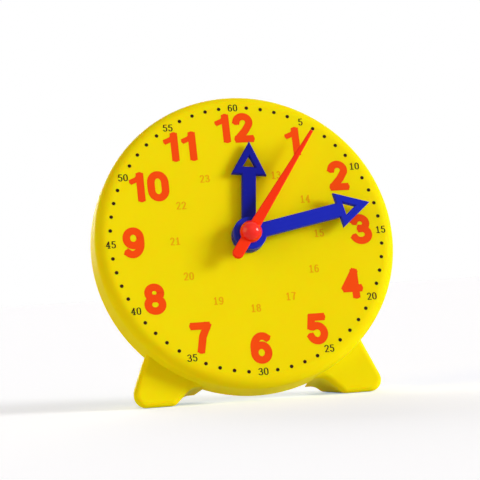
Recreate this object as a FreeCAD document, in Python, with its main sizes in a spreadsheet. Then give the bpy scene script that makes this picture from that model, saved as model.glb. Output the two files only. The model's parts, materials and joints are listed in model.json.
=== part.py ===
import FreeCAD, Part
import math
import os
import re

import Sketcher

# A geared teaching clock: a round dial on two moulded feet, three hands on concentric arbors, and
# behind the dial a train of spur wheels that turns the hands together, seen through a clear cover.
# Every piece is drawn in the dial's own frame: x to the right and y up across the dial, z straight
# out of it, with z = 0 on the dial's face. dial_frame then stands the clock on its feet.

os.makedirs("parts", exist_ok=True)
document = FreeCAD.newDocument("teaching_clock")
sizes = document.addObject("Spreadsheet::Sheet", "sizes")

# alias, value in millimetres or degrees, what it is; "behind" is a depth behind the dial's face,
# "drop" a distance below the dial's centre and "across" a distance to one side of it
DIMENSIONS = (
    ("lean_angle", 15, "lean of the dial back from upright"),
    ("play", 0.2, "gap along the arbors between pieces that turn past each other"),
    ("sunk", 0.2, "depth by which a boss is let into the wall that it stands on"),
    ("past", 1, "length by which a cutting outline runs past what it cuts"),
    ("case_front_radius", 49.67, "side of the case, carried forward to the dial's face"),
    ("case_back_radius", 50.1, "side of the case at its open back"),
    ("case_depth", 13, "dial's face to the case's back edge"),
    ("wall", 1.8, "wall of the moulded case"),
    ("front_round", 4, "rounding of the case's front edge"),
    ("dial_bore", 3.15, "hole in the dial for the hour pipe"),
    ("dial_boss", 5, "thickened ring round that hole"),
    ("dial_boss_behind", 2.2, "end of that ring"),
    ("foot_front_behind", 8, "front face of the feet"),
    ("foot_back_behind", 25, "back edge of the feet"),
    ("foot_drop", 52.1, "sole, at the depth sole_at_behind"),
    ("sole_at_behind", 10, "depth at which foot_drop is taken"),
    ("foot_draft", 2, "taper of the feet towards their back"),
    ("foot_top_across", 35.9, "foot's outer side where it leaves the case"),
    ("foot_top_drop", 34.4, "the same"),
    ("foot_toe_across", 43.8, "foot's outer side, carried down past the sole"),
    ("foot_heel_across", 29.8, "foot's inner side, carried down past the sole"),
    ("foot_low_drop", 54, "level at which those two are taken"),
    ("foot_arch_across", 22, "where the inner side turns in to the case"),
    ("foot_arch_drop", 46.6, "the same"),
    ("foot_end_across", 16.8, "where it meets the case"),
    ("foot_end_drop", 46.5, "the same"),
    ("foot_toe_round", 4, "rounding of a foot's outer corner"),
    ("foot_heel_round", 2.5, "rounding of a foot's inner corner"),
    ("foot_arch_round", 4, "hollow rounding where a foot runs into the case"),
    ("foot_front_round", 1.8, "rounding round a foot's front face"),
    ("hollow_outer_across", 35, "foot's hollow: outer upper corner, in front and behind"),
    ("hollow_outer_drop", 36.9, "outer upper corner in front"),
    ("hollow_toe_across", 40.2, "outer lower corner in front"),
    ("hollow_heel_across", 28.5, "inner lower corner in front"),
    ("hollow_sole_drop", 50.3, "both lower corners in front"),
    ("hollow_arch_across", 23.4, "inner upper corner in front"),
    ("hollow_arch_drop", 45.3, "inner upper corner, in front and behind"),
    ("hollow_back_outer_drop", 38, "outer upper corner behind"),
    ("hollow_back_toe_across", 37.9, "outer lower corner behind"),
    ("hollow_back_heel_across", 25.6, "inner lower corner behind"),
    ("hollow_back_sole_drop", 46.1, "both lower corners behind"),
    ("hollow_back_arch_across", 24.8, "inner upper corner behind"),
    ("cover_screw_count", 4, "cover screws"),
    ("screw_circle", 42.5, "circle of the cover screws"),
    ("screw_post", 2.6, "moulded post under a cover screw"),
    ("screw_core", 1.2, "core of a cover screw and the hole it cuts into"),
    ("screw_core_length", 7, "screw's core in its post"),
    ("screw_head", 2.4, "head of a cover screw"),
    ("screw_head_height", 1.2, "head of a cover screw"),
    ("cover_front_behind", 10.8, "inner face of the back cover"),
    ("cover_thickness", 1.4, "back cover"),
    ("cover_radius", 48, "back cover"),
    ("cover_bevel", 0.3, "bevel round the back of the cover"),
    ("cover_hole", 3, "hole in the cover for the knob's neck"),
    ("screw_seat", 2.8, "counterbore for a screw's head"),
    ("screw_seat_depth", 0.6, "counterbore for a screw's head"),
    ("screw_clearance", 1.5, "hole for a screw's core in the cover"),
    ("pin_radius", 1, "steel pins and the second arbor"),
    ("pin_front_behind", 0.9, "front end of a pin, in the dial's wall"),
    ("pin_back_behind", 11.4, "back end of a pin, in the cover"),
    ("pin_boss", 2.4, "moulded boss round a pin"),
    ("slim_boss", 1.6, "cover's long boss beside the centre wheel"),
    ("running_fit", 0.05, "radial play of a wheel on its pin or pipe"),
    ("minute_pipe", 2, "outside of the minute pipe"),
    ("hour_pipe", 3.1, "outside of the hour pipe"),
    ("arbor_distance", 20.4, "centre of the dial to each train arbor"),
    ("train_angle", 30, "third arbor's direction, from x towards y; the other is opposite"),
    ("first_level_behind", 2.6, "front face of the foremost wheel"),
    ("level_pitch", 2, "one level of wheels to the next"),
    ("wheel_thickness", 1.6, "every wheel"),
    ("tooth_shift", 0.5, "profile shift of pinions, in modules; wheels have it the other way"),
    ("pinion_addendum", 0.85, "tooth above the shifted pitch line of a pinion, in modules"),
    ("wheel_addendum", 0.95, "tooth above the shifted pitch line of a wheel, in modules"),
    ("dedendum", 1.25, "tooth below the shifted pitch line, in modules"),
    ("pressure_angle", 20, "of all teeth"),
    ("tooth_play", 0.05, "shaved off each flank so that the teeth run free"),
    ("cannon_teeth", 12, "pinion on the minute pipe"),
    ("intermediate_teeth", 36, "wheel that it drives"),
    ("intermediate_pinion_teeth", 10, "pinion moulded to that wheel"),
    ("hour_teeth", 40, "wheel on the hour pipe"),
    ("centre_teeth", 64, "large wheel on the minute pipe"),
    ("third_pinion_teeth", 8, "pinion moulded to the third wheel"),
    ("third_teeth", 60, "third wheel"),
    ("second_teeth", 8, "pinion on the second arbor"),
    ("rim_width", 2.4, "solid ring under the teeth of a large wheel"),
    ("web_recess", 0.5, "depth of the dished web on the back of a large wheel"),
    ("web_margin", 1, "web left on each side of its round holes"),
    ("wide_web_holes", 6, "holes in the web of the centre and third wheels"),
    ("narrow_web_holes", 5, "holes in the web of the intermediate and hour wheels"),
    ("hub_radius", 4.2, "solid middle of a large wheel"),
    ("hand_bottom", 1.2, "back of the hour hand's blade, ahead of the dial"),
    ("hand_thickness", 1.6, "blades of the hour and minute hands"),
    ("hand_edge", 0.3, "softened front edges of the hands"),
    ("hub_disc", 5.5, "round middle of the hour and minute hands"),
    ("hub_bottom", 0.4, "back of the hour hand's middle, ahead of the dial"),
    ("hour_length", 32.4, "centre to tip of the hour hand"),
    ("hour_head", 11.6, "length of the hour hand's arrowhead"),
    ("hour_head_width", 11.8, "hour hand's arrowhead"),
    ("hour_shaft", 4.65, "width of the hour hand's shaft"),
    ("minute_bottom", 3.4, "back of the minute hand's blade, ahead of the dial"),
    ("minute_length", 42, "centre to tip of the minute hand"),
    ("minute_head", 11.1, "length of the minute hand's arrowhead"),
    ("minute_head_width", 12.1, "minute hand's arrowhead"),
    ("minute_shaft", 4.8, "width of the minute hand's shaft"),
    ("window_start", 5.2, "tip to the arrowhead's triangular window"),
    ("window_end", 9, "tip to the far side of that window"),
    ("window_width", 4.3, "the window's base"),
    ("second_bottom", 5.6, "back of the second hand, ahead of the dial"),
    ("second_thickness", 1.2, "second hand"),
    ("second_length", 41.5, "centre to tip of the second hand"),
    ("second_root_width", 3.5, "second hand beside its middle"),
    ("second_tip_width", 1.1, "second hand at its tip"),
    ("second_tail", 10.4, "centre to the end of the second hand's tail"),
    ("second_tail_width", 3.8, "second hand's tail"),
    ("second_tail_round", 1.85, "rounding of the tail's two corners"),
    ("cap_radius", 3.55, "domed cap and the second hand's middle"),
    ("cap_height", 2.6, "domed cap"),
    ("arbor_in_cap", 1, "length of the second arbor inside the cap"),
    ("knob_front_behind", 12.8, "front of the setting knob's grip"),
    ("knob_length", 8, "setting knob's grip"),
    ("knob_radius", 7, "setting knob's grip"),
    ("knob_neck", 2.4, "neck of the knob through the cover"),
    ("knob_flute", 1.1, "radius of one finger groove"),
    ("knob_flutes", 12, "finger grooves"),
    ("knob_bevel", 0.8, "bevelled back edge of the knob"),
    ("arbor_in_knob", 6, "length of the second arbor inside the knob's grip"),
    ("hour_angle", 6.55, "hour hand at rest, clockwise from twelve"),
    ("minute_angle", 78.6, "minute hand at rest, clockwise from twelve"),
    ("second_angle", 36, "second hand at rest, clockwise from twelve"),
)
ALIASES = {alias for alias, _, _ in DIMENSIONS}
for row, (alias, value, note) in enumerate(DIMENSIONS, start=1):
    sizes.set(f"A{row}", alias)
    sizes.set(f"B{row}", str(value))
    sizes.set(f"C{row}", note)
    sizes.setAlias(f"B{row}", alias)
document.recompute()


def size(expression):
    """The value of a sum of the sheet's dimensions."""
    return float(sizes.evalExpression(expression))


def bound(expression):
    """The same sum as the rest of the document writes it, with the sheet's name before each alias."""
    return re.sub("[a-z_]+", lambda word: ("sizes." if word[0] in ALIASES else "") + word[0], expression)


# the clock stands on its soles at height 0, with the middle of its box over the origin
lean = math.radians(size("lean_angle"))
reach_ahead = (
    size("case_front_radius - front_round") * math.sin(lean) + size("front_round") * (1 - math.cos(lean))
)
reach_behind = size("case_back_radius") * math.sin(lean) + size("case_depth") * math.cos(lean)
dial_frame = FreeCAD.Placement(
    FreeCAD.Vector(
        0,
        (reach_ahead - reach_behind) / 2,
        size("foot_drop") * math.cos(lean) + size("sole_at_behind") * math.sin(lean),
    ),
    FreeCAD.Rotation(FreeCAD.Vector(1, 0, 0), 90 - size("lean_angle")),
)

# places on the dial, as across and up
on_axis = ("0", "0")
third_place = ("arbor_distance * cos(train_angle * 1 deg)", "arbor_distance * sin(train_angle * 1 deg)")
intermediate_place = tuple(f"-{value}" for value in third_place)
screw_place = ("screw_circle * cos(45 deg)", "screw_circle * sin(45 deg)")


def new_body(name, place=on_axis, clockwise="0"):
    """An empty body whose own z axis stands on the dial at a place, turned clockwise by some degrees."""
    body = document.addObject("PartDesign::Body", name)
    body.Label = name
    across, up = place
    on_dial = FreeCAD.Placement(
        FreeCAD.Vector(size(across), size(up), 0),
        FreeCAD.Rotation(FreeCAD.Vector(0, 0, 1), -size(clockwise)),
    )
    body.Placement = dial_frame.multiply(on_dial)
    return body


def origin_feature(body, role):
    return next(feature for feature in body.Origin.OriginFeatures if feature.Role == role)


def new_sketch(body, name, height="0", plane="XY_Plane"):
    """A sketch on one of the body's origin planes, moved along that plane's normal by height."""
    sketch = body.newObject("Sketcher::SketchObject", name)
    sketch.AttachmentSupport = [(origin_feature(body, plane), "")]
    sketch.MapMode = "FlatFace"
    sketch.setExpression("AttachmentOffset.Base.z", bound(height))
    return sketch


def hold(sketch, kind, place, expression):
    """A driving dimension of a sketch, bound to the sheet."""
    number = sketch.addConstraint(Sketcher.Constraint(kind, *place, size(expression)))
    sketch.setExpression(f"Constraints[{number}]", bound(expression))


def hold_point(sketch, place, across, up):
    hold(sketch, "DistanceX", place, across)
    hold(sketch, "DistanceY", place, up)


def polygon(sketch, corners):
    """A closed outline of straight lines, with both coordinates of each corner bound to the sheet."""
    places = [FreeCAD.Vector(size(across), size(up), 0) for across, up in corners]
    for start, end in zip(places, places[1:] + places[:1]):
        sketch.addGeometry(Part.LineSegment(start, end), False)
    for number, (across, up) in enumerate(corners):
        following = (number + 1) % len(corners)
        sketch.addConstraint(Sketcher.Constraint("Coincident", number, 2, following, 1))
        hold_point(sketch, (number, 1), across, up)


def circle(sketch, radius, place=on_axis):
    across, up = place
    centre = FreeCAD.Vector(size(across), size(up), 0)
    number = sketch.addGeometry(Part.Circle(centre, FreeCAD.Vector(0, 0, 1), size(radius)), False)
    hold(sketch, "Radius", (number,), radius)
    hold_point(sketch, (number, 3), across, up)


def pad(body, name, sketch, length, taper="0"):
    """Material added behind a sketch."""
    feature = body.newObject("PartDesign::Pad", name)
    feature.Profile = sketch
    feature.Reversed = True
    feature.setExpression("Length", bound(length))
    feature.setExpression("TaperAngle", bound(taper))
    return feature


def pocket(body, name, sketch, depth, both_ways=False):
    """Material cut behind a sketch, or half on each side of it; it has to cut something."""
    document.recompute()
    before = body.Shape.Volume
    feature = body.newObject("PartDesign::Pocket", name)
    feature.Profile = sketch
    feature.Midplane = both_ways
    feature.setExpression("Length", bound(depth))
    document.recompute()
    if not feature.Shape.Volume < before:
        raise RuntimeError(f"{body.Label}.{name} cuts nothing")
    return feature


def disc(body, name, radius, front, back, place=on_axis):
    """A round boss or plate from z = front to z = back."""
    sketch = new_sketch(body, name + "_outline", front)
    circle(sketch, radius, place)
    return pad(body, name, sketch, f"({front}) - ({back})")


def bore(body, name, radius, front, back, place=on_axis):
    """A round hole from z = front to z = back."""
    sketch = new_sketch(body, name + "_outline", front)
    circle(sketch, radius, place)
    return pocket(body, name, sketch, f"({front}) - ({back})")


def ring_of(body, name, originals, count):
    """Features repeated in even steps about the body's z axis."""
    pattern = body.newObject("PartDesign::PolarPattern", name)
    pattern.Originals = originals
    pattern.Axis = (origin_feature(body, "Z_Axis"), [""])
    pattern.Angle = 360
    pattern.setExpression("Occurrences", bound(count))
    body.Tip = pattern
    return pattern


def revolve(body, name, profile):
    """Material swept a full turn round the body's z axis, from a profile in its xz plane."""
    feature = body.newObject("PartDesign::Revolution", name)
    feature.Profile = profile
    feature.ReferenceAxis = (profile, ["V_Axis"])
    feature.Angle = 360
    return feature


def soften(body, name, radius, wanted, kind="Fillet"):
    """A fillet or chamfer on each edge of the body for which wanted(edge) is true."""
    document.recompute()
    last = body.Tip
    chosen = [f"Edge{n}" for n, edge in enumerate(last.Shape.Edges, start=1) if wanted(edge)]
    if not chosen:
        raise RuntimeError(f"{body.Label}.{name} finds no edge")
    feature = body.newObject("PartDesign::" + kind, name)
    feature.Base = (last, chosen)
    feature.setExpression("Radius" if kind == "Fillet" else "Size", bound(radius))
    document.recompute()
    return feature


def middle(edge):
    return edge.valueAt((edge.FirstParameter + edge.LastParameter) / 2)


def from_axis(edge):
    """Distance of an edge's middle from the body's z axis."""
    return math.hypot(middle(edge).x, middle(edge).y)


def flat_at(edge, height):
    """Whether an edge lies in the plane z = height."""
    box = edge.BoundBox
    return max(abs(box.ZMin - size(height)), abs(box.ZMax - size(height))) < 0.02


def polar(radius, angle):
    return FreeCAD.Vector(radius * math.cos(angle), radius * math.sin(angle), 0)


# ------------------------------------------------------------------ teeth
def involute(angle):
    return math.tan(angle) - angle


def tip_radius(teeth, module, pinion):
    """Radius over the tips of a pinion's or a wheel's teeth."""
    side = "+ tooth_shift + pinion_addendum" if pinion else "- tooth_shift + wheel_addendum"
    return f"({teeth} / 2 {side}) * {module}"


def tooth_space(sketch, teeth, module, pinion, middle_angle):
    """One gap between two involute teeth, centred on middle_angle: a root arc, two flanks and, outside the
    tips, an arc that closes it. Each flank is the arc through three points of its involute; below the base
    circle it runs straight in to the root."""
    count, unit = size(teeth), size(module)
    shift = size("tooth_shift") if pinion else -size("tooth_shift")
    pressure = math.radians(size("pressure_angle"))
    pitch = count * unit / 2
    base = pitch * math.cos(pressure)
    tip = size(tip_radius(teeth, module, pinion))
    root = pitch + unit * (shift - size("dedendum"))
    beyond = tip + unit / 2
    half_tooth = (math.pi / 2 + 2 * shift * math.tan(pressure)) / count - size("tooth_play") / pitch

    def half_gap(radius):
        """Half the gap's angle at a radius on the flank."""
        return math.pi / count - half_tooth - involute(pressure) + involute(math.acos(base / radius))

    start = max(base, root)
    waist = (start + tip) / 2
    for side in (-1, 1):
        flank = [polar(r, middle_angle + side * half_gap(r)) for r in (start, waist, tip)]
        sketch.addGeometry(Part.Arc(*flank[::side]), False)
        edge = middle_angle + side * half_gap(tip)
        sketch.addGeometry(Part.LineSegment(polar(tip, edge), polar(beyond, edge)), False)
        if base > root:
            edge = middle_angle + side * half_gap(base)
            sketch.addGeometry(Part.LineSegment(polar(root, edge), polar(base, edge)), False)
    for radius, half in ((root, half_gap(start)), (beyond, half_gap(tip))):
        ends = [polar(radius, middle_angle + step * half) for step in (-1, 0, 1)]
        sketch.addGeometry(Part.Arc(*ends), False)


def toothed_disc(body, name, teeth, module, pinion, front, back, facing):
    """A spur wheel or pinion: a blank with its tooth spaces cut one by one round it. facing is the direction
    of the mating wheel in degrees: a pinion points a tooth that way, and a wheel points a space."""
    disc(body, name + "_blank", tip_radius(teeth, module, pinion), front, back)
    sketch = new_sketch(body, name + "_space", front)
    turned = math.pi / size(teeth) if pinion else 0
    tooth_space(sketch, teeth, module, pinion, math.radians(facing) + turned)
    space = pocket(body, name + "_cut", sketch, f"({front}) - ({back})")
    ring_of(body, name + "_teeth", [space], teeth)
    document.recompute()


def level(number):
    """z of the front face of the wheels on a level, counted back from 0."""
    return f"-first_level_behind - {number} * level_pitch"


def wheel_back(number):
    return f"{level(number)} - wheel_thickness"


def dish(body, teeth, module, number, holes):
    """The back of a large wheel: a shallow dished web between hub and rim, with round holes through it."""
    outer = f"{tip_radius(teeth, module, False)} - rim_width"
    web_back = f"{wheel_back(number)} + web_recess"
    sketch = new_sketch(body, "dish_outline", web_back)
    circle(sketch, outer)
    circle(sketch, "hub_radius")
    pocket(body, "dish", sketch, "web_recess")
    hole = f"({outer} - hub_radius) / 2 - web_margin"
    first = bore(body, "web_hole", hole, level(number), web_back, (f"({outer} + hub_radius) / 2", "0"))
    ring_of(body, "web_holes", [first], holes)
    document.recompute()


# modules that bring all four meshes to the same distance between arbors
cannon_module = "2 * arbor_distance / (cannon_teeth + intermediate_teeth)"
hour_module = "2 * arbor_distance / (hour_teeth + intermediate_pinion_teeth)"
centre_module = "2 * arbor_distance / (centre_teeth + third_pinion_teeth)"
second_module = "2 * arbor_distance / (second_teeth + third_teeth)"
towards_third = size("train_angle")
towards_intermediate = towards_third + 180
cover_front = "-cover_front_behind"
cover_back = "-cover_front_behind - cover_thickness"


# ------------------------------------------------------------------ moulded case with its feet
case = new_body("case_shell")

# right foot: splayed outer side, a sole deeper than its cut, a sloping inner side and a short level run
# into the case; its top chord lies inside the case's wall
foot_outline = new_sketch(case, "foot_outline", "-foot_front_behind")
polygon(
    foot_outline,
    (
        ("foot_top_across", "-foot_top_drop"),
        ("foot_toe_across", "-foot_low_drop"),
        ("foot_heel_across", "-foot_low_drop"),
        ("foot_arch_across", "-foot_arch_drop"),
        ("foot_end_across", "-foot_end_drop"),
    ),
)
pad(case, "foot", foot_outline, "foot_back_behind - foot_front_behind", "-foot_draft")


def sole(behind):
    """y of the sole's plane at a depth behind the dial."""
    return f"-foot_drop + ({behind} - sole_at_behind) * tan(lean_angle * 1 deg)"


ground = new_sketch(case, "ground", plane="YZ_Plane")
polygon(
    ground,
    (
        (sole("foot_front_behind - past"), "-foot_front_behind + past"),
        (sole("foot_back_behind + past"), "-foot_back_behind - past"),
        ("-2 * foot_drop", "-foot_back_behind - past"),
        ("-2 * foot_drop", "-foot_front_behind + past"),
    ),
)
pocket(case, "soles", ground, "3 * case_back_radius", both_ways=True)


def long_edge(number):
    """Test for one of the foot's edges that run from front to back, counted outwards from 0."""
    shape = case.Tip.Shape
    foot_depth = size("foot_back_behind - foot_front_behind")
    running_back = [edge for edge in shape.Edges if edge.BoundBox.ZLength > foot_depth / 2]
    running_back.sort(key=lambda edge: middle(edge).x)
    return lambda edge: edge.isSame(running_back[number])


# the outermost corner goes first, so that the count of those further in stays
soften(case, "toe", "foot_toe_round", long_edge(4))
soften(case, "heel", "foot_heel_round", long_edge(2))
soften(case, "arch", "foot_arch_round", long_edge(1))
soften(
    case, "foot_front", "foot_front_round",
    lambda edge: flat_at(edge, "-foot_front_behind") and from_axis(edge) > size("case_front_radius"),
)

# the foot is open behind: a tapering hollow with a wall all round
hollow_front = new_sketch(case, "hollow_front", "-foot_front_behind - foot_front_round")
polygon(
    hollow_front,
    (
        ("hollow_outer_across", "-hollow_outer_drop"),
        ("hollow_toe_across", "-hollow_sole_drop"),
        ("hollow_heel_across", "-hollow_sole_drop"),
        ("hollow_arch_across", "-hollow_arch_drop"),
    ),
)
hollow_back = new_sketch(case, "hollow_back", "-foot_back_behind - past")
polygon(
    hollow_back,
    (
        ("hollow_outer_across", "-hollow_back_outer_drop"),
        ("hollow_back_toe_across", "-hollow_back_sole_drop"),
        ("hollow_back_heel_across", "-hollow_back_sole_drop"),
        ("hollow_back_arch_across", "-hollow_arch_drop"),
    ),
)
hollow = case.newObject("PartDesign::SubtractiveLoft", "hollow")
hollow.Profile = hollow_front
hollow.Sections = [hollow_back]
hollow.Ruled = True
document.recompute()

feet = case.newObject("PartDesign::Mirrored", "feet")
feet.MirrorPlane = (origin_feature(case, "YZ_Plane"), [""])
feet.TransformMode = "Whole shape"
case.Tip = feet
document.recompute()

shell_profile = new_sketch(case, "shell_profile", plane="XZ_Plane")
polygon(
    shell_profile,
    (
        ("dial_bore", "0"),
        ("case_front_radius", "0"),
        ("case_back_radius", "-case_depth"),
        ("case_back_radius - wall", "-case_depth"),
        ("case_front_radius - wall", "-wall"),
        ("dial_boss", "-wall"),
        ("dial_boss", "-dial_boss_behind"),
        ("dial_bore", "-dial_boss_behind"),
    ),
)
revolve(case, "shell", shell_profile)
soften(
    case, "front_edge", "front_round",
    lambda edge: flat_at(edge, "0") and from_axis(edge) > size("case_front_radius - wall"),
)
soften(
    case, "inner_edge", "(front_round - wall) / 2",
    lambda edge: flat_at(edge, "-wall") and from_axis(edge) > size("dial_boss + wall"),
    kind="Chamfer",
)

# posts for the cover screws and bosses for the two pins
post = disc(case, "post", "screw_post", "-wall + sunk", cover_front, screw_place)
case.Tip = post
ring_of(case, "posts", [post], "cover_screw_count")
core = bore(case, "core", "screw_core", f"{cover_front} + screw_core_length", cover_front, screw_place)
ring_of(case, "cores", [core], "cover_screw_count")
bosses = (("third", third_place, level(2)), ("intermediate", intermediate_place, level(0)))
for name, place, boss_back in bosses:
    disc(case, name + "_boss", "pin_boss", "-wall + sunk", f"{boss_back} + play", place)
    bore(case, name + "_hole", "pin_radius", "-pin_front_behind", boss_back, place)

# ------------------------------------------------------------------ clear back cover and its screws
cover = new_body("back_cover")
seat_floor = f"{cover_back} + screw_seat_depth"
disc(cover, "plate", "cover_radius", cover_front, cover_back)
hole = bore(cover, "screw_hole", "screw_clearance", cover_front, cover_back, screw_place)
seat = bore(cover, "screw_seat", "screw_seat", seat_floor, cover_back, screw_place)
ring_of(cover, "screw_holes", [hole, seat], "cover_screw_count")
bore(cover, "knob_hole", "cover_hole", cover_front, cover_back)
sockets = (
    ("third", "pin_boss", third_place, 3),
    ("intermediate", "slim_boss", intermediate_place, 1),
)
for name, radius, place, number in sockets:
    disc(cover, name + "_socket", radius, f"{wheel_back(number)} - play", f"{cover_front} - sunk", place)
for name, radius, place, number in sockets:
    bore(cover, name + "_pin_hole", "pin_radius", level(number), "-pin_back_behind", place)
soften(
    cover, "cover_edge", "cover_bevel",
    lambda edge: flat_at(edge, cover_back) and from_axis(edge) > size("cover_radius - wall"),
    kind="Chamfer",
)

screws = new_body("cover_screws")
head_back = f"{seat_floor} - screw_head_height"
disc(screws, "shank", "screw_core", f"{cover_front} + screw_core_length", seat_floor, screw_place)
disc(screws, "head", "screw_head", seat_floor, head_back, screw_place)
soften(screws, "head_edge", "screw_head_height / 2", lambda edge: flat_at(edge, head_back), kind="Chamfer")
ring_of(screws, "whole_set", [], "cover_screw_count").TransformMode = "Whole shape"

# ------------------------------------------------------------------ pins in the case
for name, place in (("third_pin", third_place), ("intermediate_pin", intermediate_place)):
    pin = new_body(name, place)
    disc(pin, "rod", "pin_radius", "-pin_front_behind", "-pin_back_behind")

# ------------------------------------------------------------------ minute pipe, cannon pinion, centre wheel
pipe = new_body("minute_pipe")
pipe_front = "minute_bottom + hand_thickness"
disc(pipe, "tube", "minute_pipe", pipe_front, wheel_back(2))
toothed_disc(
    pipe, "cannon_pinion", "cannon_teeth", cannon_module, True, level(1), level(2), towards_intermediate
)
bore(pipe, "tube_bore", "pin_radius + running_fit", pipe_front, wheel_back(2))

centre = new_body("centre_wheel")
toothed_disc(
    centre, "rim", "centre_teeth", centre_module, False, level(2), wheel_back(2), towards_third
)
bore(centre, "centre_bore", "minute_pipe", level(2), wheel_back(2))
dish(centre, "centre_teeth", centre_module, 2, "wide_web_holes")

# ------------------------------------------------------------------ intermediate and hour wheels
intermediate = new_body("intermediate_wheel", intermediate_place)
toothed_disc(
    intermediate, "rim", "intermediate_teeth", cannon_module, False, level(1), wheel_back(1), towards_third
)
toothed_disc(
    intermediate, "pinion", "intermediate_pinion_teeth", hour_module, True, level(0), level(1), towards_third
)
bore(intermediate, "pin_bore", "pin_radius + running_fit", level(0), wheel_back(1))
dish(intermediate, "intermediate_teeth", cannon_module, 1, "narrow_web_holes")

hour = new_body("hour_wheel")
pipe_front = "hand_bottom + hand_thickness"
toothed_disc(
    hour, "rim", "hour_teeth", hour_module, False, level(0), wheel_back(0), towards_intermediate
)
disc(hour, "pipe", "hour_pipe", pipe_front, level(0))
bore(hour, "pipe_bore", "minute_pipe + running_fit", pipe_front, wheel_back(0))
dish(hour, "hour_teeth", hour_module, 0, "narrow_web_holes")

# ------------------------------------------------------------------ third wheel, second pinion and arbor
third = new_body("third_wheel", third_place)
toothed_disc(
    third, "rim", "third_teeth", second_module, False, level(3), wheel_back(3), towards_intermediate
)
toothed_disc(
    third, "pinion", "third_pinion_teeth", centre_module, True, level(2), level(3), towards_intermediate
)
bore(third, "pin_bore", "pin_radius + running_fit", level(2), wheel_back(3))
dish(third, "third_teeth", second_module, 3, "wide_web_holes")

second_pinion = new_body("second_pinion")
toothed_disc(
    second_pinion, "leaves", "second_teeth", second_module, True, level(3), wheel_back(3), towards_third
)
bore(second_pinion, "arbor_hole", "pin_radius", level(3), wheel_back(3))

second_front = "second_bottom + second_thickness"
arbor_back = "-knob_front_behind - arbor_in_knob"
arbor = new_body("second_arbor")
disc(arbor, "rod", "pin_radius", f"{second_front} + arbor_in_cap", arbor_back)


# ------------------------------------------------------------------ hands and cap
def arrow_hand(name, blade_back, middle_back, pipe_radius):
    """A flat moulded hand: round middle, straight shaft, and an arrowhead with a triangular window. Its
    other sizes are the sheet's own for an hour or a minute hand."""
    hand = new_body(f"{name}_hand", clockwise=f"{name}_angle")
    blade_front = f"{blade_back} + hand_thickness"
    half_shaft, half_head = f"{name}_shaft / 2", f"{name}_head_width / 2"
    tip, neck = f"{name}_length", f"{name}_length - {name}_head"
    disc(hand, "middle", "hub_disc", blade_front, middle_back)
    outline = new_sketch(hand, "blade_outline", blade_front)
    polygon(
        outline,
        (
            (f"-{half_shaft}", "0"),
            (f"-{half_shaft}", neck),
            (f"-{half_head}", neck),
            ("0", tip),
            (half_head, neck),
            (half_shaft, neck),
            (half_shaft, "0"),
        ),
    )
    hand.Tip = pad(hand, "blade", outline, "hand_thickness")
    window = new_sketch(hand, "window_outline", blade_front)
    window_base = f"{tip} - window_end"
    polygon(
        window,
        (
            ("-window_width / 2", window_base),
            ("0", f"{tip} - window_start"),
            ("window_width / 2", window_base),
        ),
    )
    pocket(hand, "window", window, "hand_thickness")
    bore(hand, "pipe_hole", pipe_radius, blade_front, middle_back)
    soften(
        hand, "soft_edges", "hand_edge",
        lambda edge: flat_at(edge, blade_front) and from_axis(edge) > size(f"{pipe_radius} + play"),
        kind="Chamfer",
    )


arrow_hand("hour", "hand_bottom", "hub_bottom", "hour_pipe")
arrow_hand("minute", "minute_bottom", "minute_bottom - play", "minute_pipe")

second_hand = new_body("second_hand", clockwise="second_angle")
disc(second_hand, "middle", "cap_radius", second_front, "second_bottom - play")
needle_outline = new_sketch(second_hand, "needle_outline", second_front)
polygon(
    needle_outline,
    (
        ("-second_tip_width / 2", "second_length"),
        ("second_tip_width / 2", "second_length"),
        ("second_root_width / 2", "cap_radius"),
        ("second_tail_width / 2", "-second_tail"),
        ("-second_tail_width / 2", "-second_tail"),
        ("-second_root_width / 2", "cap_radius"),
    ),
)
second_hand.Tip = pad(second_hand, "needle", needle_outline, "second_thickness")
soften(
    second_hand, "tail_end", "second_tail_round",
    lambda edge: (
        middle(edge).y < -size("second_tail - play") and edge.BoundBox.ZLength > size("second_thickness") / 2
    ),
)
bore(second_hand, "arbor_hole", "pin_radius", second_front, "second_bottom - play")
soften(
    second_hand, "soft_edges", "hand_edge",
    lambda edge: flat_at(edge, second_front) and from_axis(edge) > size("pin_radius + play"),
    kind="Chamfer",
)

# the cap is a slice of a ball with its centre on the arbor
cap = new_body("centre_cap")
cap_top = f"{second_front} + cap_height"
dome_radius = (size("cap_radius") ** 2 + size("cap_height") ** 2) / (2 * size("cap_height"))
dome_centre = size(cap_top) - dome_radius
rim_angle = math.asin(size("cap_radius") / dome_radius)
bulge = FreeCAD.Vector(
    dome_radius * math.sin(rim_angle / 2), dome_centre + dome_radius * math.cos(rim_angle / 2), 0
)
corner = FreeCAD.Vector(size("cap_radius"), size(second_front), 0)
crown = FreeCAD.Vector(0, size(cap_top), 0)
axis_foot = FreeCAD.Vector(0, size(second_front), 0)
dome_profile = new_sketch(cap, "dome_profile", plane="XZ_Plane")
dome_profile.addGeometry(Part.Arc(corner, bulge, crown), False)
dome_profile.addGeometry(Part.LineSegment(crown, axis_foot), False)
dome_profile.addGeometry(Part.LineSegment(axis_foot, corner), False)
for number in range(3):
    dome_profile.addConstraint(Sketcher.Constraint("Coincident", number, 2, (number + 1) % 3, 1))
hold_point(dome_profile, (0, 1), "cap_radius", second_front)
hold_point(dome_profile, (1, 1), "0", cap_top)
hold_point(dome_profile, (2, 1), "0", second_front)
hold(dome_profile, "DistanceX", (0, 3), "0")
revolve(cap, "dome", dome_profile)
bore(cap, "arbor_hole", "pin_radius", f"{second_front} + arbor_in_cap", second_front)

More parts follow.
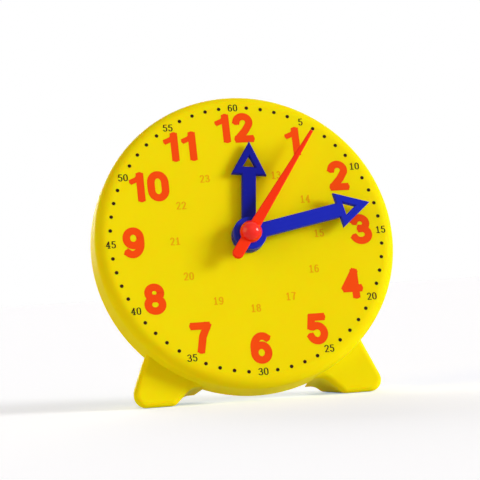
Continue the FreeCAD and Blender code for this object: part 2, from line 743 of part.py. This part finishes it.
# ------------------------------------------------------------------ setting knob, behind the cover
knob = new_body("setting_knob")
grip_front = "-knob_front_behind"
grip_back = "-knob_front_behind - knob_length"
neck_front = f"{wheel_back(3)} - play"
disc(knob, "grip", "knob_radius", grip_front, grip_back)
soften(knob, "back_edge", "knob_bevel", lambda edge: flat_at(edge, grip_back), kind="Chamfer")
disc(knob, "neck", "knob_neck", neck_front, grip_front)
flute = bore(
    knob, "flute", "knob_flute", grip_front, grip_back, ("knob_radius + knob_flute / 2", "0")
)
ring_of(knob, "flutes", [flute], "knob_flutes")
bore(knob, "arbor_hole", "pin_radius", neck_front, arbor_back)

# ------------------------------------------------------------------ check and write
document.recompute()
broken = [item.Label for item in document.Objects if {"Invalid", "Error"} & set(item.State)]
if broken:
    raise RuntimeError(f"not computed: {broken}")
for piece in document.findObjects("PartDesign::Body"):
    shape = piece.Shape
    if shape.isNull() or not shape.isValid() or shape.Volume <= 0:
        raise RuntimeError(f"{piece.Label} is not a valid solid")
    shape.exportStep(f"parts/{piece.Label}.step")
    print(piece.Label, len(shape.Solids), len(shape.Faces), round(shape.Volume, 1))
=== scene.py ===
import bpy, json, math
from mathutils import Matrix, Vector


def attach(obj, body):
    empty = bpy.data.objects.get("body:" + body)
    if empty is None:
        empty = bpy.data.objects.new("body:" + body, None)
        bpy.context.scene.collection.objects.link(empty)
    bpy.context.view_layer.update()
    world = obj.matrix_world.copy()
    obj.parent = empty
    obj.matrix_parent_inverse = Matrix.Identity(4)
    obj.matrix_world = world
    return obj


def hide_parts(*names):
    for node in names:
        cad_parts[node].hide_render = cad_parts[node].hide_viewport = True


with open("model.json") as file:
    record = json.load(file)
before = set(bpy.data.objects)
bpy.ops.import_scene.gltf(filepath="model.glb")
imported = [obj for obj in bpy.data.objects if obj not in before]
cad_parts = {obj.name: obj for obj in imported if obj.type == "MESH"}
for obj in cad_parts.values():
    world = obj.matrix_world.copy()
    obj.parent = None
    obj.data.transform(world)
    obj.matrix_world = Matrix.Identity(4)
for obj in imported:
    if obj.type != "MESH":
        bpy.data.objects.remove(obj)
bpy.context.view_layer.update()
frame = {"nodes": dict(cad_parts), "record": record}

# ------------------------------------------------------------------ where the clock is seen from
# The clock stands on a pale table and is seen from its left, from a little below the height of its
# own middle, through a long lens held slightly askew. The dial's own frame has x to the right and y
# up across the dial and z out of it, and the camera is given in that frame.
MM = 0.001
joints = {joint["name"]: joint for joint in frame["record"]["behaviour"]["joints"]}
into_dial = Vector(joints["minute_turn"]["axis"])
dial_right = Vector((1, 0, 0))
dial_up = dial_right.cross(into_dial)
on_dial = Matrix.Translation(joints["minute_turn"]["pos_m"]) @ Matrix(
    (dial_right, dial_up, -into_dial)
).transposed().to_4x4()

lens_centre = Vector((-125.0, -168.6, 574.4)) * MM
lens_length, film_width = 140.55, 36
sight_line = Vector((0.20033, 0.27467, -0.94044))
picture_right = Vector((0.97808, -0.11175, 0.17571))
camera_data = bpy.data.cameras.new("camera")
camera_data.lens, camera_data.sensor_width = lens_length, film_width
camera_data.clip_start, camera_data.clip_end = 0.02, 50
camera = bpy.data.objects.new("camera", camera_data)
bpy.context.scene.collection.objects.link(camera)
picture_up = picture_right.cross(sight_line)
turn = Matrix((picture_right, picture_up, -sight_line)).transposed().to_4x4()
camera.matrix_world = on_dial @ Matrix.Translation(lens_centre) @ turn
bpy.context.scene.camera = camera


# ------------------------------------------------------------------ table, backdrop and lamps
# A wide white table under soft daylight: one large window to the right, warm light from the room in
# front and from a tan wall to the left, light from behind, and a warm even light from all round.
class Tone:
    """A value of a finish. A sum or product of tones adds its own Math nodes."""

    def __init__(self, finish, socket):
        self.finish, self.socket = finish, socket

    def math(self, operation, first, second=0.0):
        return self.finish.node("ShaderNodeMath", {"operation": operation}, {0: first, 1: second})

    def __add__(self, other):
        return self.math("ADD", self, other)

    __radd__ = __add__

    def __sub__(self, other):
        return self.math("SUBTRACT", self, other)

    def __mul__(self, other):
        return self.math("MULTIPLY", self, other)

    def __pow__(self, other):
        return self.math("POWER", self, other)

    def most(self, other):
        return self.math("MAXIMUM", self, other)


class Finish:
    """A material or sky under construction. node() adds any node: its settings first, then its sockets."""

    def __init__(self, tree):
        self.tree = tree

    def node(self, kind, settings=None, sockets=None, output=0):
        node = self.tree.nodes.new(kind)
        for name, value in (settings or {}).items():
            setattr(node, name, value)
        for socket, value in (sockets or {}).items():
            self.join(node.inputs[socket], value)
        return Tone(self, node.outputs[output])

    def join(self, socket, value):
        if isinstance(value, Tone):
            self.tree.links.new(value.socket, socket)
        else:
            socket.default_value = value


def white_behind(finish, surface, glow_colour):
    """Adds light to how the lamps light a surface, for what sees the surface itself."""
    seen = finish.node("ShaderNodeLightPath", output="Is Camera Ray")
    mirrored = Tone(finish, seen.socket.node.outputs["Is Glossy Ray"])
    looked_through = Tone(finish, seen.socket.node.outputs["Is Transmission Ray"])
    glow = finish.node(
        "ShaderNodeEmission",
        sockets={"Color": (*glow_colour, 1), "Strength": seen.most(mirrored).most(looked_through)},
    )
    return finish.node("ShaderNodeAddShader", sockets={0: surface, 1: glow})


table_size, table_below = 12, 0.1 * MM
table_white, table_glow = (0.86, 0.86, 0.86, 1), (0.28, 0.38, 0.50)
bpy.ops.mesh.primitive_plane_add(size=table_size, location=(0, 0, -table_below))
table = bpy.context.object
table.name = "table"
table_material = bpy.data.materials.new("white_table")
table_material.use_nodes = True
board = Finish(table_material.node_tree)
board.tree.nodes.clear()
matt = board.node("ShaderNodeBsdfDiffuse", sockets={"Color": table_white})
end = board.tree.nodes.new("ShaderNodeOutputMaterial")
board.join(end.inputs["Surface"], white_behind(board, matt, table_glow))
table.data.materials.append(table_material)

even_light = (0.26, 0.15, 0.09)
world = bpy.data.worlds.new("daylight")
world.use_nodes = True
bpy.context.scene.world = world
sky = Finish(world.node_tree)
sky.tree.nodes.clear()
all_round = sky.node("ShaderNodeBackground", sockets={"Color": (*even_light, 1), "Strength": 1})
end = sky.tree.nodes.new("ShaderNodeOutputWorld")
sky.join(end.inputs["Surface"], white_behind(sky, all_round, [1 - part for part in even_light]))

# each lamp's name, the way to it from the dial, its strength, its width in degrees and its tint
lamps = (
    ("window", Vector((0.87, 0.16, 0.55)), 2.6, 24, (0.98, 1, 1)),
    ("room", Vector((0.3, 0.4, 1.0)), 0.38, 60, (1, 0.78, 0.6)),
    ("left_wall", Vector((-1.0, 0.3, 0.4)), 0.9, 40, (1, 0.88, 0.3)),
    ("light_from_behind", Vector((-0.1, 0.6, -1.0)), 1.9, 50, (1, 1, 1)),
)
for name, toward_lamp, strength, width, tint in lamps:
    lamp_data = bpy.data.lights.new(name, "SUN")
    lamp_data.energy, lamp_data.angle, lamp_data.color = strength, math.radians(width), tint
    lamp = bpy.data.objects.new(name, lamp_data)
    lamp.matrix_world = (on_dial.to_3x3() @ toward_lamp).to_track_quat("Z", "Y").to_matrix().to_4x4()
    bpy.context.scene.collection.objects.link(lamp)

bpy.context.scene.view_settings.view_transform = "Standard"


# ------------------------------------------------------------------ moulded case
# Dial, side wall and both feet are one moulding in satin yellow plastic. Its colour is mixed into
# the plastic, so it only varies where the melt flowed, and its skin has the fine swell of a mould.
class Plastic(Finish):
    """Moulded plastic in one colour, with cloudy flow, an uneven gloss and a slightly rippled skin.
    Ink and drawn wire are made with it too."""

    # streaks to a cloud, and how many dull patches, dull specks, swells and grains go to a metre
    STREAKS, PATCHES, SPECKS, SWELLS, GRAINS = 4, 90, 1400, 160, 2600
    STREAK_STRETCH, CLOUD_SHARE, STREAK_SHARE, SWELL_SHARE = (1, 1, 0.15), 0.7, 0.3, 0.7
    # the mean of a noise, and how far patches and specks take the roughness from its own value
    MEAN, PATCH_ROUGHNESS, SPECK_ROUGHNESS = 0.5, 0.1, 0.05
    BUMP_STRENGTH, BUMP_DEPTH = 0.12, 0.1 * MM

    def __init__(self, name, colour, clouded, roughness, cloud_size, ripple, **constants):
        self.material = bpy.data.materials.new(name)
        self.material.use_nodes = True
        super().__init__(self.material.node_tree)
        self.shader = self.tree.nodes["Principled BSDF"]
        for socket, value in constants.items():
            self.shader.inputs[socket.replace("_", " ")].default_value = value
        self.place = self.node("ShaderNodeTexCoord", output="Object")
        cloud = self.noise(1 / cloud_size, detail=3)
        streaks = self.noise(self.STREAKS / cloud_size, detail=5, stretched=self.STREAK_STRETCH)
        share = cloud * self.CLOUD_SHARE + streaks * self.STREAK_SHARE
        self.colour = self.blend((*colour, 1), (*clouded, 1), share)
        patches = (self.noise(self.PATCHES, detail=2) - self.MEAN) * self.PATCH_ROUGHNESS
        specks = (self.noise(self.SPECKS, detail=2) - self.MEAN) * self.SPECK_ROUGHNESS
        self.roughness = roughness + (patches + specks)
        swells = self.noise(self.SWELLS, detail=2) * self.SWELL_SHARE
        self.skin = swells + self.noise(self.GRAINS, detail=1) * ripple
        self.finish()

    def noise(self, scale, detail, stretched=(1, 1, 1)):
        spread = self.node("ShaderNodeMapping", sockets={"Vector": self.place, "Scale": stretched})
        return self.node("ShaderNodeTexNoise", sockets={"Vector": spread, "Scale": scale, "Detail": detail})

    def blend(self, first, second, share):
        return self.node(
            "ShaderNodeMix", {"data_type": "RGBA"}, {"Factor": share, 6: first, 7: second}, output=2
        )

    def finish(self):
        self.join(self.shader.inputs["Base Color"], self.colour)
        self.join(self.shader.inputs["Roughness"], self.roughness)
        bump = {"Height": self.skin, "Strength": self.BUMP_STRENGTH, "Distance": self.BUMP_DEPTH}
        self.join(self.shader.inputs["Normal"], self.node("ShaderNodeBump", sockets=bump))


def dress(node, finish):
    """Gives a piece of the frame its finish."""
    for slot in frame["nodes"][node].material_slots:
        slot.material = finish.material


yellow = Plastic(
    "yellow_case_plastic", (0.85, 0.79, 0.006), (0.82, 0.745, 0.005),
    roughness=0.34, cloud_size=0.035, ripple=0.25,
    Specular_IOR_Level=0.003, Subsurface_Weight=0.8, Subsurface_Radius=(1, 0.25, 0.02),
    Subsurface_Scale=1.2 * MM,
)
dress("case_shell", yellow)


# ------------------------------------------------------------------ printed dial
# All the numbers stand upright and are printed on the flat of the dial: the hours in thick orange
# red strokes with blunt ends, the minutes as dark dots and small figures, and the hours after noon
# in faint orange. The film of ink stands a few hundredths of a millimetre proud.
film, film_let_in = 0.03, 0.01
hour_ring, minute_ring, afternoon_ring = 37.6, 45, 24
dot_radius, round_sides = 0.6, 24
minutes_round, to_next_hour = 60, 5
# corners of a ribbon, and of figures cut together, are one corner when they are closer than this
same_corner, same_cut = 0.0001, 0.0005


def arc(across, up, wide, high, start, end):
    """Points along part of an ellipse, about a dozen degrees apart."""
    apart = 12
    steps = max(2, round(abs(end - start) / apart))
    turns = [math.radians(start + (end - start) * step / steps) for step in range(steps + 1)]
    return [(across + wide * math.cos(turn), up + high * math.sin(turn)) for turn in turns]


# the path of the pen for each figure, in a box one wide and one high
PEN_PATHS = {
    "0": [arc(0.5, 0.66, 0.5, 0.34, 0, 180) + arc(0.5, 0.34, 0.5, 0.34, 180, 360) + [(1, 0.66)]],
    "1": [[(1, 0), (1, 1)], [(1, 1), (0.6, 0.84), (-0.1, 0.75)]],
    "2": [arc(0.5, 0.74, 0.47, 0.26, 170, -25) + [(0.62, 0.36), (0.14, 0.07)], [(0.04, 0), (1, 0)]],
    "3": [arc(0.46, 0.76, 0.44, 0.24, 160, -90), arc(0.46, 0.27, 0.54, 0.27, 90, -155)],
    "4": [[(0.72, 1), (0, 0.33)], [(0, 0.3), (1, 0.3)], [(0.72, 1), (0.72, 0)]],
    "5": [[(0.95, 1), (0.2, 1)], [(0.2, 1), (0.1, 0.6)], arc(0.5, 0.32, 0.5, 0.32, 115, -157)],
    "6": [arc(0.62, 0.52, 0.6, 0.48, 55, 185), arc(0.51, 0.31, 0.49, 0.31, 0, 360)],
    "7": [[(0, 1), (1, 1)], [(1, 1), (0.62, 0.55), (0.42, 0)]],
    "8": [arc(0.5, 0.76, 0.43, 0.24, 0, 360), arc(0.5, 0.27, 0.5, 0.27, 0, 360)],
    "9": [arc(0.38, 0.48, 0.6, 0.48, -125, 5), arc(0.49, 0.69, 0.49, 0.31, 0, 360)],
}
# how much of the pen's width each line of a figure has, where they differ
PEN_SHARES = {"1": (1, 0.72, 1)}
SERIF_PATHS = PEN_PATHS | {
    "1": [[(0.5, 0), (0.5, 1)], [(0.5, 0.98), (0.1, 0.8)], [(0.1, 0), (0.9, 0)]],
    "4": PEN_PATHS["4"] + [[(0.45, 0), (1, 0)]],
}


def only(*pieces):
    """Selects some objects and no others, the first of them active."""
    bpy.ops.object.select_all(action="DESELECT")
    for piece in pieces:
        piece.select_set(True)
    bpy.context.view_layer.objects.active = pieces[0]


def merge(piece, closer_than):
    """Melts together the corners of a piece that are closer than some distance."""
    only(piece)
    bpy.ops.object.mode_set(mode="EDIT")
    bpy.ops.mesh.select_all(action="SELECT")
    bpy.ops.mesh.remove_doubles(threshold=closer_than)
    bpy.ops.object.mode_set(mode="OBJECT")


def drawn_line(points, closed=False):
    """A flat curve of straight steps through some points."""
    bpy.ops.curve.primitive_bezier_curve_add(location=(0, 0, 0))
    line = bpy.context.object
    line.data.dimensions, line.data.fill_mode = "2D", "NONE"
    line.data.splines.clear()
    steps = line.data.splines.new("POLY")
    steps.points.add(len(points) - 1)
    for point, (across, up) in zip(steps.points, points):
        point.co = (across, up, 0, 1)
    steps.use_cyclic_u = closed
    return line


def carried_on(start, end, length):
    """A point past the end of a step, in line with it."""
    across, up = end[0] - start[0], end[1] - start[1]
    share = length / math.hypot(across, up)
    return end[0] + across * share, end[1] + up * share


def stroke(points, pen):
    """A ribbon of ink one unit thick along some points, and the discs that round its ends. The ribbon
    of an open line runs on past the middles of its discs, so that its ends are nearly square."""
    run_on, touching = 0.75 * pen, 0.1 * pen
    tip = drawn_line([(-pen, -0.5), (pen, -0.5), (pen, 0.5), (-pen, 0.5)], closed=True)
    is_ring = math.dist(points[0], points[-1]) < touching
    first = [] if is_ring else [carried_on(points[1], points[0], run_on)]
    last = [] if is_ring else [carried_on(points[-2], points[-1], run_on)]
    ribbon = drawn_line(first + points + last)
    ribbon.data.bevel_mode, ribbon.data.bevel_object, ribbon.data.use_fill_caps = "OBJECT", tip, True
    only(ribbon)
    bpy.ops.object.convert(target="MESH")
    bpy.data.objects.remove(tip)
    merge(ribbon, same_corner)
    bpy.ops.object.mode_set(mode="EDIT")
    bpy.ops.mesh.normals_make_consistent(inside=False)
    bpy.ops.object.mode_set(mode="OBJECT")
    parts = [ribbon]
    for across, up in (points[0], points[-1]):
        bpy.ops.mesh.primitive_cylinder_add(
            vertices=round_sides, radius=pen, depth=1, location=(across, up, 0)
        )
        parts.append(bpy.context.object)
    return parts


def united(parts):
    """The first of some overlapping solids, with the others melted into it."""
    whole, *others = parts
    only(whole)
    for other in others:
        melt = whole.modifiers.new("melt", "BOOLEAN")
        melt.operation, melt.solver, melt.object = "UNION", "MANIFOLD", other
        bpy.ops.object.modifier_apply(modifier="melt")
        bpy.data.objects.remove(other)
    merge(whole, same_cut)
    bpy.ops.object.shade_flat()
    return whole


class Figures:
    """Ten figures of one size and pen. The pen is round, or lower than it is wide."""

    def __init__(self, paths, wide, high, pen, pen_height, gap, slim=None):
        self.widths = {digit: slim if slim and digit == "1" else wide for digit in paths}
        self.high, self.gap = high, gap
        squash = pen_height / pen
        self.shapes = {}
        for digit, lines in paths.items():
            span, rise = self.widths[digit] - 2 * pen, high / squash - 2 * pen
            parts = []
            for line, share in zip(lines, PEN_SHARES.get(digit, (1,) * len(lines))):
                points = [(pen + across * span, pen + up * rise) for across, up in line]
                parts += stroke(points, pen * share)
            self.shapes[digit] = united(parts)
            self.shapes[digit].data.transform(Matrix.Diagonal((1, squash, 1, 1)))

    def write(self, number, across, up):
        """The figures of a number, upright and centred at a place on the dial."""
        digits = str(number)
        total = sum(self.widths[digit] for digit in digits) + self.gap * (len(digits) - 1)
        left = across - total / 2
        made = []
        for digit in digits:
            figure = self.shapes[digit].copy()
            figure.data = figure.data.copy()
            bpy.context.scene.collection.objects.link(figure)
            figure.data.transform(Matrix.Translation((left, up - self.high / 2, 0)))
            left += self.widths[digit] + self.gap
            made.append(figure)
        return made

    def put_away(self):
        for shape in self.shapes.values():
            bpy.data.objects.remove(shape)


def clock_place(radius, minutes):
    """The place on the dial that a hand of that length points to."""
    turn = math.radians(360 / minutes_round * minutes)
    return radius * math.sin(turn), radius * math.cos(turn)


def print_on_dial(name, parts, ink):
    """Joins some figures drawn in millimetres into one film of ink on the dial."""
    only(*parts)
    bpy.ops.object.transform_apply(location=True, rotation=True, scale=True)
    bpy.ops.object.join()
    film_piece = bpy.context.object
    film_piece.name = name
    thin = Matrix.Diagonal((1, 1, film, 1))
    lifted = Matrix.Translation((0, 0, film / 2 - film_let_in))
    film_piece.data.transform(on_dial @ Matrix.Scale(MM, 4) @ lifted @ thin)
    film_piece.data.materials.clear()
    film_piece.data.materials.append(ink.material)
    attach(film_piece, "case")


orange_red = Plastic(
    "orange_red_ink", (0.88, 0.080, 0.006), (0.83, 0.068, 0.005),
    roughness=0.42, cloud_size=0.006, ripple=0.6, Specular_IOR_Level=0.05,
)
near_black = Plastic(
    "near_black_ink", (0.018, 0.004, 0.001), (0.030, 0.008, 0.002),
    roughness=0.42, cloud_size=0.004, ripple=0.6, Specular_IOR_Level=0.1,
)
faint_orange = Plastic(
    "faint_orange_ink", (0.80, 0.34, 0.003), (0.82, 0.46, 0.003),
    roughness=0.40, cloud_size=0.004, ripple=0.5, Specular_IOR_Level=0.05,
)

hour_figures = Figures(PEN_PATHS, wide=7.1, high=10.4, pen=1.24, pen_height=1.24, gap=1.0, slim=5.0)
# how far each hour stands from its even place on the ring
nudges = {
    1: (0.1, -0.4), 2: (0.4, 0.7), 3: (0.8, 0.5), 4: (0.3, 0.9), 5: (0.4, 0.3), 6: (0.1, 0.3),
    7: (-0.1, -0.1), 8: (0, -0.1), 9: (0.1, 0.3), 10: (1.9, 0.2), 11: (-0.3, -0.3), 12: (-0.2, 0.3),
}
hour_marks = []
for hour, nudge in nudges.items():
    across, up = clock_place(hour_ring, to_next_hour * hour)
    hour_marks += hour_figures.write(hour, across + nudge[0], up + nudge[1])
hour_figures.put_away()
print_on_dial("hour_numbers", hour_marks, orange_red)

minute_figures = Figures(SERIF_PATHS, wide=1.5, high=2.4, pen=0.2, pen_height=0.12, gap=0.26)
minute_marks = []
for minute in range(to_next_hour, minutes_round + 1, to_next_hour):
    minute_marks += minute_figures.write(minute, *clock_place(minute_ring, minute))
minute_figures.put_away()
print_on_dial("minute_numbers", minute_marks, near_black)

dots = []
for minute in range(minutes_round):
    if minute % to_next_hour:
        bpy.ops.mesh.primitive_cylinder_add(
            vertices=round_sides, radius=dot_radius, depth=1, location=(*clock_place(minute_ring, minute), 0)
        )
        dots.append(bpy.context.object)
print_on_dial("minute_dots", dots, near_black)

afternoon_figures = Figures(SERIF_PATHS, wide=1.5, high=2.6, pen=0.22, pen_height=0.14, gap=0.3)
afternoon_marks = []
for hour in range(13, 25):
    afternoon_marks += afternoon_figures.write(hour, *clock_place(afternoon_ring, to_next_hour * hour))
afternoon_figures.put_away()
print_on_dial("afternoon_numbers", afternoon_marks, faint_orange)


# ------------------------------------------------------------------ gear train and its pins
# The wheels and pinions are moulded in nylon, each in its own colour so that pupils can tell them
# apart, and run on bright drawn wire pins.
nylon = {"cloud_size": 0.01, "ripple": 0.4}
white_nylon = Plastic("white_nylon", (0.80, 0.80, 0.76), (0.72, 0.72, 0.68), roughness=0.38, **nylon)
red_nylon = Plastic("red_nylon", (0.70, 0.030, 0.015), (0.60, 0.022, 0.012), roughness=0.36, **nylon)
green_nylon = Plastic("green_nylon", (0.03, 0.40, 0.07), (0.022, 0.32, 0.055), roughness=0.36, **nylon)
blue_nylon = Plastic("blue_nylon", (0.03, 0.13, 0.62), (0.02, 0.10, 0.52), roughness=0.36, **nylon)
steel = Plastic(
    "bright_wire", (0.52, 0.52, 0.54), (0.40, 0.40, 0.42),
    roughness=0.30, cloud_size=0.002, ripple=0.5, Metallic=1.0,
)
for node, finish in (
    ("minute_pipe", white_nylon),
    ("hour_wheel", white_nylon),
    ("second_pinion", white_nylon),
    ("centre_wheel", red_nylon),
    ("intermediate_wheel", green_nylon),
    ("third_wheel", blue_nylon),
    ("third_pin", steel),
    ("intermediate_pin", steel),
    ("second_arbor", steel),
):
    dress(node, finish)


# ------------------------------------------------------------------ clear back cover
# A disc of clear polystyrene let into the back of the case and held by four screws, so that the
# turning wheels can be watched.
class ClearPlastic(Plastic):
    """Plastic that lets most light through and mirrors what is round it, most where seen aslant."""

    MIRRORED_HEAD_ON, MIRRORED_ASLANT, STEEPNESS = 0.02, 0.7, 4
    MIRROR_TINT = (0.96, 0.98, 1, 1)

    def finish(self):
        super().finish()
        mirror = self.node(
            "ShaderNodeBsdfPrincipled",
            sockets={"Metallic": 1, "Base Color": self.MIRROR_TINT, "Roughness": self.roughness},
        )
        aslant = self.node("ShaderNodeLayerWeight", sockets={"Blend": 0.5}, output="Facing")
        mirrored = self.MIRRORED_HEAD_ON + aslant ** self.STEEPNESS * self.MIRRORED_ASLANT
        clear_body = Tone(self, self.shader.outputs["BSDF"])
        both = self.node("ShaderNodeMixShader", sockets={0: mirrored, 1: clear_body, 2: mirror})
        self.join(self.tree.nodes["Material Output"].inputs["Surface"], both)


clear = ClearPlastic(
    "clear_styrene", (0.60, 0.64, 0.64), (0.52, 0.56, 0.56),
    roughness=0.07, cloud_size=0.03, ripple=0.1, Alpha=0.025,
)
dress("back_cover", clear)


# ------------------------------------------------------------------ cover screws
# Four small self-tapping screws of bright steel with domed heads and a pressed cross. They hold the
# cover against posts of the case, and each has stopped at a turn of its own.
# radii of their circle, of a head and of a core, and how far the dome runs in and down
screw_circle, screw_head, screw_core, screw_dome = 42.5, 2.4, 1.15, 0.8
# places along a screw, from the face of the dial
head_seat, head_back, screw_taper, screw_point = -11.6, -12.8, -5.2, -3.8
cross_length, cross_width, cross_depth = 3.1, 0.8, 0.9
head_sides, dome_steps, smooth_below = 40, 5, math.radians(30)
point_share, cross_floor_share = 0.25, 0.6
first_screw, to_next_screw, rest_turns = 45, 90, (12, 50, 77, 33)
to_head, to_point = Vector((0, 0, -1)), Vector((0, 0, 1))
square_on = 0.99


def pick_faces(piece, toward):
    """Selects only the faces of a piece that look squarely one way, and goes into edit mode."""
    only(piece)
    bpy.ops.object.mode_set(mode="EDIT")
    bpy.ops.mesh.select_mode(type="FACE")
    bpy.ops.mesh.select_all(action="DESELECT")
    bpy.ops.object.mode_set(mode="OBJECT")
    for face in piece.data.polygons:
        face.select = face.normal.dot(toward) > square_on
    bpy.ops.object.mode_set(mode="EDIT")


head_middle = (0, 0, (head_seat + head_back) / 2)
bpy.ops.mesh.primitive_cylinder_add(
    vertices=head_sides, radius=screw_head, depth=head_seat - head_back, location=head_middle
)
screw = bpy.context.object
bpy.ops.object.transform_apply()
pick_faces(screw, to_head)
bpy.ops.mesh.bevel(offset=screw_dome, segments=dome_steps)
bpy.ops.object.mode_set(mode="OBJECT")
pick_faces(screw, to_point)
bpy.ops.mesh.inset(thickness=screw_head - screw_core)
bpy.ops.mesh.extrude_region_move(TRANSFORM_OT_translate={"value": (0, 0, screw_taper - head_seat)})
bpy.ops.mesh.extrude_region_move(TRANSFORM_OT_translate={"value": (0, 0, screw_point - screw_taper)})
bpy.ops.transform.resize(value=(point_share, point_share, 1))
bpy.ops.object.mode_set(mode="OBJECT")
for bar_turn in (0, 90):
    turned = (0, 0, math.radians(bar_turn))
    bpy.ops.mesh.primitive_cube_add(size=1, location=(0, 0, head_back), rotation=turned)
    bar = bpy.context.object
    bar.scale = (cross_length, cross_width, 2 * cross_depth)
    bpy.ops.object.transform_apply()
    pick_faces(bar, to_point)
    bpy.ops.transform.resize(value=(cross_floor_share, cross_floor_share, 1))
    bpy.ops.object.mode_set(mode="OBJECT")
    only(screw)
    press = screw.modifiers.new("press", "BOOLEAN")
    press.operation, press.solver, press.object = "DIFFERENCE", "MANIFOLD", bar
    bpy.ops.object.modifier_apply(modifier="press")
    bpy.data.objects.remove(bar)
bpy.ops.object.shade_smooth_by_angle(angle=smooth_below)
screw.data.materials.append(steel.material)
for number, rest_turn in enumerate(rest_turns):
    driven = screw.copy()
    driven.data = screw.data.copy()
    driven.name = f"cover_screw_{number + 1}"
    bpy.context.scene.collection.objects.link(driven)
    around = Matrix.Rotation(math.radians(first_screw + to_next_screw * number), 4, "Z")
    at_rest = Matrix.Rotation(math.radians(rest_turn), 4, "Z")
    place = around @ Matrix.Translation((screw_circle, 0, 0)) @ at_rest
    driven.data.transform(on_dial @ Matrix.Scale(MM, 4) @ place)
    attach(driven, "case")
    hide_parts("cover_screws")
bpy.data.objects.remove(screw)


# ------------------------------------------------------------------ hands, cap and knob
# Flat moulded hands, the minute hand blue and the second hand red, with a red dome over the end of
# the arbor. The hour hand's blue is painted darker than the minute hand's, as painted shade for the
# shadow that the second hand and cap cast on it. The fluted red knob behind has a shallow dish in its
# end where a fingertip rests, as such knobs have so that they don't sink as they cool.
blue_hand = {"roughness": 0.26, "cloud_size": 0.02, "ripple": 0.3, "Specular_IOR_Level": 0.06}
minute_blue = Plastic("blue_minute_hand", (0.012, 0.025, 0.63), (0.009, 0.020, 0.55), **blue_hand)
# the hour hand's darker blue is painted shade, standing in for the shadow of the second hand and cap
hour_blue_with_painted_shade = Plastic("blue_hour_hand_painted_shade", (0.007, 0.012, 0.42), (0.005, 0.009, 0.34), **blue_hand)
hand_red = Plastic(
    "red_plastic", (0.90, 0.036, 0.004), (0.84, 0.030, 0.003),
    roughness=0.30, cloud_size=0.02, ripple=0.3, Specular_IOR_Level=0.1,
)
polished_red = Plastic(
    "polished_red_plastic", (0.90, 0.014, 0.001), (0.85, 0.011, 0.001),
    roughness=0.14, cloud_size=0.02, ripple=0.1, Specular_IOR_Level=0.3,
)
dress("hour_hand", hour_blue_with_painted_shade)
dress("minute_hand", minute_blue)
dress("second_hand", hand_red)
dress("centre_cap", polished_red)

# the place of the knob's end behind the face of the dial, and the radius of its flat
knob_end, knob_face = -20.8, 6.2
split_corner = 0.002 * MM
# the dish from its edge to its floor, as pairs of radius and depth
dish = ((5.0, 0), (4.8, 0.2), (4.2, 0.5), (3.2, 0.75), (1.8, 0.9))
knob = bpy.data.objects.new("dished_knob", frame["nodes"]["setting_knob"].data.copy())
bpy.context.scene.collection.objects.link(knob)
only(knob)
bpy.ops.mesh.customdata_custom_splitnormals_clear()
merge(knob, split_corner)
pick_faces(knob, into_dial)
bpy.ops.mesh.inset(thickness=(knob_face - dish[0][0]) * MM)
for (radius, depth), (next_radius, next_depth) in zip(dish, dish[1:]):
    pressed_in = into_dial * (depth - next_depth) * MM
    bpy.ops.mesh.extrude_region_move(TRANSFORM_OT_translate={"value": pressed_in})
    middle = on_dial @ Vector((0, 0, (knob_end + next_depth) * MM))
    bpy.ops.transform.resize(value=[next_radius / radius] * 3, center_override=middle)
bpy.ops.object.mode_set(mode="OBJECT")
bpy.ops.object.shade_smooth_by_angle(angle=smooth_below)
knob.data.materials.clear()
knob.data.materials.append(hand_red.material)
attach(knob, "second")
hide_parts("setting_knob")
